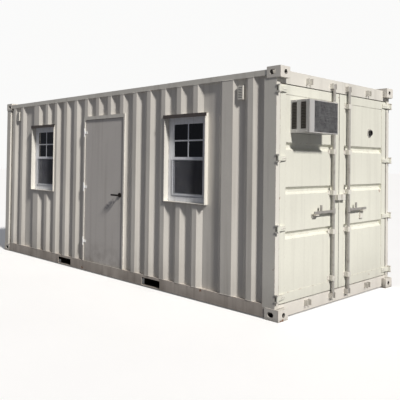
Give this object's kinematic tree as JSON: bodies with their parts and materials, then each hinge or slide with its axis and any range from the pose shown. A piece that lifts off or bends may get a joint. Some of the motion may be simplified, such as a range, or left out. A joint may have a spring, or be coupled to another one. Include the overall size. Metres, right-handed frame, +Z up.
{
  "type": "shipping container cabin",
  "caption": "Steel freight container made into a site cabin, with an entry door, boxed windows, swinging cargo doors with locking rods and a window air conditioner.",
  "frame": {"origin": "midway between the four bottom corner castings, on the ground", "axes": "+X along the length towards the cargo doors, -Y the long side with the entry door and windows, +Z up"},
  "size_m": [6.228, 2.484, 2.591],
  "materials": {
    "bottom_castings": "painted, scuffed",
    "top_castings": "satin",
    "door_end_posts": "satin",
    "blind_end_posts": "satin",
    "bottom_side_rails": "dull, rust stained",
    "top_side_rails": "satin",
    "door_header": "satin",
    "door_sill": "satin, scuffed",
    "blind_end_rails": "dull",
    "fork_pockets": "matt black",
    "cross_members": "matt black",
    "floor": "worn plywood",
    "roof": "satin",
    "front_wall_left": "satin",
    "front_wall_over_door": "satin",
    "front_wall_right": "satin",
    "back_wall": "satin",
    "blind_end_wall": "satin",
    "ventilators": "satin",
    "entry_frame": "satin",
    "entry_door": "satin",
    "entry_hinges": "bright zinc",
    "entry_hinge_wings": "bright zinc",
    "entry_lever": "dark worn",
    "window_boxes": "satin",
    "window_frames": "white vinyl",
    "window_sashes": "white vinyl",
    "window_glass": "dark tinted glass",
    "cargo_frame_left": "satin",
    "cargo_panel_left": "satin",
    "cargo_frame_right": "satin",
    "cargo_panel_right": "satin",
    "cargo_hinge_lugs": "worn",
    "cargo_hinges_left": "satin",
    "cargo_hinges_right": "satin",
    "lock_rod_left": "painted, worn",
    "lock_rod_right": "painted, worn",
    "lock_brackets_left": "painted",
    "lock_brackets_right": "painted",
    "lock_keepers": "painted, worn",
    "cable_fitting": "zinc grey",
    "ac_casing": "light grey enamel",
    "ac_coil": "dark fins"
  },
  "bodies": {
    "cabin": {"bottom_castings": "bottom_castings", "top_castings": "top_castings", "door_end_posts": "door_end_posts", "blind_end_posts": "blind_end_posts", "bottom_side_rails": "bottom_side_rails", "top_side_rails": "top_side_rails", "door_header": "door_header", "door_sill": "door_sill", "blind_end_rails": "blind_end_rails", "fork_pockets": "fork_pockets", "cross_members": "cross_members", "floor": "floor", "roof": "roof", "front_wall_left": "front_wall_left", "front_wall_over_door": "front_wall_over_door", "front_wall_right": "front_wall_right", "back_wall": "back_wall", "blind_end_wall": "blind_end_wall", "ventilators": "ventilators", "entry_frame": "entry_frame", "entry_hinges": "entry_hinges", "window_boxes": "window_boxes", "window_frames": "window_frames", "window_sashes": "window_sashes", "window_glass": "window_glass", "cargo_hinge_lugs": "cargo_hinge_lugs", "lock_keepers": "lock_keepers"},
    "entry_leaf": {"entry_door": "entry_door", "entry_hinge_wings": "entry_hinge_wings"},
    "entry_handle": {"entry_lever": "entry_lever"},
    "cargo_leaf_left": {"cargo_frame_left": "cargo_frame_left", "cargo_panel_left": "cargo_panel_left", "cargo_hinges_left": "cargo_hinges_left", "lock_brackets_left": "lock_brackets_left", "ac_casing": "ac_casing", "ac_coil": "ac_coil"},
    "cargo_leaf_right": {"cargo_frame_right": "cargo_frame_right", "cargo_panel_right": "cargo_panel_right", "cargo_hinges_right": "cargo_hinges_right", "lock_brackets_right": "lock_brackets_right", "cable_fitting": "cable_fitting"},
    "rod_left": {"lock_rod_left": "lock_rod_left"},
    "rod_right": {"lock_rod_right": "lock_rod_right"}
  },
  "joints": [
    {"name": "entry_door_swing", "type": "hinge", "parent": "cabin", "child": "entry_leaf", "pos_m": [-0.5125, -1.224, 1.17], "axis": [0, 0, -1], "range_deg": [0, 175]},
    {"name": "entry_lever_turn", "type": "hinge", "parent": "entry_leaf", "child": "entry_handle", "pos_m": [0.342, -1.201, 1.14], "axis": [0, -1, 0], "range_deg": [0, 45], "stiffness_Nm_per_rad": 1.2, "springref_deg": -28.65},
    {"name": "cargo_leaf_left_swing", "type": "hinge", "parent": "cabin", "child": "cargo_leaf_left", "pos_m": [3.006, -1.205, 1.2885], "axis": [0, 0, -1], "range_deg": [0, 230]},
    {"name": "cargo_leaf_right_swing", "type": "hinge", "parent": "cabin", "child": "cargo_leaf_right", "pos_m": [3.006, 1.205, 1.2885], "axis": [0, 0, 1], "range_deg": [0, 265]},
    {"name": "rod_left_turn", "type": "hinge", "parent": "cargo_leaf_left", "child": "rod_left", "pos_m": [3.001, -0.165, 1.2885], "axis": [0, 0, -1], "range_deg": [-90, 0]},
    {"name": "rod_right_turn", "type": "hinge", "parent": "cargo_leaf_right", "child": "rod_right", "pos_m": [3.001, 0.165, 1.2885], "axis": [0, 0, 1], "range_deg": [-90, 0]}
  ]
}
